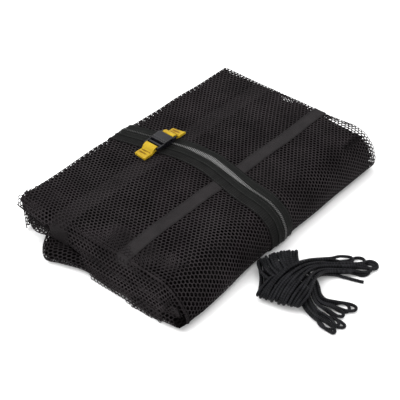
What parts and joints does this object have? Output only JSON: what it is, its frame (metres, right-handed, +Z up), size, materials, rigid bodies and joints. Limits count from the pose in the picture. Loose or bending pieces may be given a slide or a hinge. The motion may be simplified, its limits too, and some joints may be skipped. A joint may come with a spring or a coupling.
{
  "type": "folded enclosure net",
  "caption": "Folded mesh safety net packed flat, with a zipped door, woven bands, a side-release buckle on webbing tabs and a knotted hank of lacing cord.",
  "frame": {"origin": "on the surface the pack rests on, half way between the tip of its lowest fold and its right end, and half way between the spine and the rear edge of the net", "axes": "+X along the pack towards its plain right end, +Y from the rounded spine to the rear edge, +Z up"},
  "size_m": [0.428, 0.4257, 0.0697],
  "materials": {
    "netting": "knitted polyethylene mesh, soft sheen",
    "woven_band": "woven webbing, matte",
    "door_facing": "close woven polyester",
    "zip_tape": "woven zip tape with a ribbed edge",
    "zip_coil": "moulded coil teeth, glossy grey",
    "zip_metal": "black lacquered die casting",
    "buckle_plastic": "moulded black acetal",
    "yellow_webbing": "woven polypropylene webbing",
    "yellow_thread": "sewing thread",
    "black_cord": "braided polyester cord"
  },
  "bodies": {
    "pack": {"outer_wrap": "netting", "upper_fold": "netting", "middle_fold": "netting", "lower_fold": "netting", "reinforcing_band": "woven_band", "hem_band": "woven_band", "door_facing_left": "door_facing", "door_facing_right": "door_facing", "zip_tape_left": "zip_tape", "zip_tape_right": "zip_tape", "zip_coil_left": "zip_coil", "zip_coil_right": "zip_coil", "zip_end_stops": "zip_metal", "buckle_female": "buckle_plastic", "webbing_tab_right": "yellow_webbing", "tab_stitching_right": "yellow_thread"},
    "buckle_plug": {"buckle_male": "buckle_plastic", "webbing_tab_left": "yellow_webbing", "tab_stitching_left": "yellow_thread"},
    "prong_front": {"buckle_prong_front": "buckle_plastic"},
    "prong_rear": {"buckle_prong_rear": "buckle_plastic"},
    "slider": {"zip_slider": "zip_metal"},
    "pull": {"zip_pull_tab": "zip_metal"},
    "lacing_cord": {"cord_hank": "black_cord", "cord_tail": "black_cord"}
  },
  "joints": [
    {"name": "buckle_release", "type": "slide", "parent": "pack", "child": "buckle_plug", "axis": [-1, 0, 0], "range_m": [0, 0.014], "deforming": ["buckle_prong_front", "buckle_prong_rear"]},
    {"name": "prong_front_squeeze", "type": "hinge", "parent": "buckle_plug", "child": "prong_front", "pos_m": [0.0055, 0.0645, 0.0656], "axis": [0, 0, 1], "range_deg": [0, 12], "stiffness_Nm_per_rad": 0.05},
    {"name": "prong_rear_squeeze", "type": "hinge", "parent": "buckle_plug", "child": "prong_rear", "pos_m": [0.0055, 0.0795, 0.0656], "axis": [0, 0, -1], "range_deg": [0, 12], "stiffness_Nm_per_rad": 0.05},
    {"name": "zip_slide", "type": "slide", "parent": "pack", "child": "slider", "axis": [0, 0, 1], "range_m": [-0.014, 0.006]},
    {"name": "zip_pull_swing", "type": "hinge", "parent": "slider", "child": "pull", "pos_m": [-0.001, 0.1455, 0.036], "axis": [1, 0, 0], "range_deg": [0, 170]},
    {"name": "cord_lift", "type": "slide", "parent": "pack", "child": "lacing_cord", "axis": [0, 0, 1], "range_m": [0, 0.15]}
  ]
}
